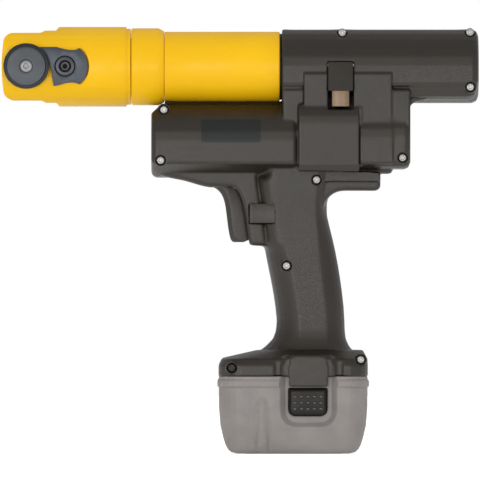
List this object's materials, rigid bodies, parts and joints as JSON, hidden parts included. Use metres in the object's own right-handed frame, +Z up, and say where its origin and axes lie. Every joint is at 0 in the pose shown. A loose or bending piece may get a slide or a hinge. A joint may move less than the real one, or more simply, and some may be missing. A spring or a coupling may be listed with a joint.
{
  "type": "cordless pipe press tool",
  "caption": "Pistol-shaped cordless hydraulic press tool with a swivelling tong fork, yellow barrel, black moulded grip housing and plug-in battery pack.",
  "frame": {"origin": "centre of the battery pack's flat base", "axes": "+X to the rear of the tool with the muzzle along -X, +Y to its right side, +Z up along the grip"},
  "size_m": [0.2891, 0.08, 0.2588],
  "materials": {
    "yellow_paint": "smooth yellow paint",
    "housing_plastic": "fine-grained black-brown moulding",
    "cover_plastic": "fine-grained black-brown moulding",
    "battery_plastic": "fine-grained grey moulding",
    "steel": "bright machined steel",
    "dark_steel": "phosphated dark steel",
    "bronze": "plain bronze",
    "rubber": "matt rubber",
    "inner_plastic": "plain moulding",
    "winding": "lacquered copper",
    "cell_can": "shrink-wrapped can",
    "board": "green lacquer"
  },
  "bodies": {
    "housing": {"left_housing": "housing_plastic", "right_housing": "housing_plastic", "housing_screws": "steel", "left_side_cover": "cover_plastic", "right_side_cover": "cover_plastic", "barrel_sleeve": "yellow_paint", "swivel_collar": "yellow_paint", "press_cylinder": "steel", "cylinder_gland": "bronze", "rod_seal": "rubber", "valve_block": "steel", "oil_reservoir": "rubber", "pump_plunger": "steel", "motor_can": "dark_steel", "ring_gear": "steel", "gearbox_flange": "inner_plastic", "shaft_bearings": "steel", "return_spring": "steel", "trigger_pin": "steel", "trigger_spring": "steel", "switch_module": "inner_plastic", "reset_pivot_pin": "steel", "control_board": "board", "contact_block": "inner_plastic"},
    "press_head": {"fork": "yellow_paint", "swivel_ring": "steel", "latch_screw": "dark_steel"},
    "latch": {"latch_plate": "dark_steel"},
    "bolt": {"tong_bolt": "steel", "bolt_knob": "dark_steel", "bolt_screw": "steel"},
    "ram": {"piston": "steel", "piston_seal": "rubber", "ram_head": "dark_steel", "roller_pins": "steel"},
    "roller_up": {"upper_roller": "steel"},
    "roller_low": {"lower_roller": "steel"},
    "trigger_lever": {"trigger": "housing_plastic"},
    "button": {"cross_button": "cover_plastic"},
    "reset": {"reset_lever": "bronze", "reset_pad": "rubber"},
    "relief": {"relief_stem": "steel"},
    "rotor": {"armature": "winding"},
    "carrier": {"planet_carrier": "dark_steel"},
    "planet_a": {"planet_gear_a": "steel"},
    "planet_b": {"planet_gear_b": "steel"},
    "planet_c": {"planet_gear_c": "steel"},
    "battery": {"battery_case": "battery_plastic", "battery_lid": "battery_plastic", "battery_cells": "cell_can", "cell_holder": "inner_plastic", "battery_terminals": "bronze", "battery_screws": "steel", "left_latch_spring": "steel", "right_latch_spring": "steel"},
    "latch_l": {"left_latch": "battery_plastic"},
    "latch_r": {"right_latch": "battery_plastic"}
  },
  "joints": [
    {"name": "head_swivel", "type": "hinge", "parent": "housing", "child": "press_head", "pos_m": [-0.095, 0, 0.2346], "axis": [1, 0, 0], "continuous": true},
    {"name": "bolt_pull", "type": "slide", "parent": "press_head", "child": "bolt", "axis": [0, -1, 0], "range_m": [0, 0.033]},
    {"name": "latch_turn", "type": "hinge", "parent": "press_head", "child": "latch", "pos_m": [-0.1382, -0.0226, 0.2346], "axis": [0, 1, 0], "range_deg": [0, 25]},
    {"name": "ram_stroke", "type": "slide", "parent": "press_head", "child": "ram", "axis": [-1, 0, 0], "range_m": [0, 0.022], "stiffness_N_per_m": 1500, "springref_m": -0.012, "deforming": ["return_spring"]},
    {"name": "upper_roller_spin", "type": "hinge", "parent": "ram", "child": "roller_up", "pos_m": [-0.1216, 0, 0.2428], "axis": [0, 1, 0], "continuous": true},
    {"name": "lower_roller_spin", "type": "hinge", "parent": "ram", "child": "roller_low", "pos_m": [-0.1216, 0, 0.2264], "axis": [0, 1, 0], "continuous": true},
    {"name": "trigger_pull", "type": "hinge", "parent": "housing", "child": "trigger_lever", "pos_m": [-0.047, 0, 0.1648], "axis": [0, -1, 0], "range_deg": [0, 7.5], "stiffness_Nm_per_rad": 0.3, "springref_deg": -5.73, "deforming": ["trigger_spring"]},
    {"name": "button_push", "type": "slide", "parent": "housing", "child": "button", "axis": [0, 1, 0], "range_m": [0, 0.003]},
    {"name": "reset_press", "type": "hinge", "parent": "housing", "child": "reset", "pos_m": [0.0287, -0.0218, 0.2352], "axis": [1, 0, 0], "range_deg": [0, 7], "stiffness_Nm_per_rad": 0.2, "springref_deg": -5.73},
    {"name": "relief_push", "type": "slide", "parent": "housing", "child": "relief", "axis": [0, 1, 0], "range_m": [0, 0.002]},
    {"name": "rotor_spin", "type": "hinge", "parent": "housing", "child": "rotor", "pos_m": [-0.05, 0, 0.192], "axis": [1, 0, 0], "continuous": true},
    {"name": "carrier_spin", "type": "hinge", "parent": "housing", "child": "carrier", "pos_m": [0.02, 0, 0.192], "axis": [1, 0, 0], "continuous": true},
    {"name": "planet_a_spin", "type": "hinge", "parent": "carrier", "child": "planet_a", "pos_m": [-0.0095, 0.009, 0.192], "axis": [1, 0, 0], "continuous": true},
    {"name": "planet_b_spin", "type": "hinge", "parent": "carrier", "child": "planet_b", "pos_m": [-0.0095, -0.0045, 0.19979], "axis": [1, 0, 0], "continuous": true},
    {"name": "planet_c_spin", "type": "hinge", "parent": "carrier", "child": "planet_c", "pos_m": [-0.0095, -0.0045, 0.18421], "axis": [1, 0, 0], "continuous": true},
    {"name": "battery_out", "type": "slide", "parent": "housing", "child": "battery", "axis": [0, 0, -1], "range_m": [0, 0.045]},
    {"name": "left_latch_press", "type": "slide", "parent": "battery", "child": "latch_l", "axis": [0, 1, 0], "range_m": [0, 0.003], "stiffness_N_per_m": 600, "springref_m": -0.003, "deforming": ["left_latch_spring"]},
    {"name": "right_latch_press", "type": "slide", "parent": "battery", "child": "latch_r", "axis": [0, -1, 0], "range_m": [0, 0.003], "stiffness_N_per_m": 600, "springref_m": -0.003, "deforming": ["right_latch_spring"]}
  ],
  "couplings": [
    {"joint": "carrier_spin", "follows": "rotor_spin", "ratio": 0.2},
    {"joint": "planet_a_spin", "follows": "rotor_spin", "ratio": -0.53333},
    {"joint": "planet_b_spin", "follows": "rotor_spin", "ratio": -0.53333},
    {"joint": "planet_c_spin", "follows": "rotor_spin", "ratio": -0.53333},
    {"joint": "relief_push", "follows": "reset_press", "m_per_rad": 0.0126}
  ]
}
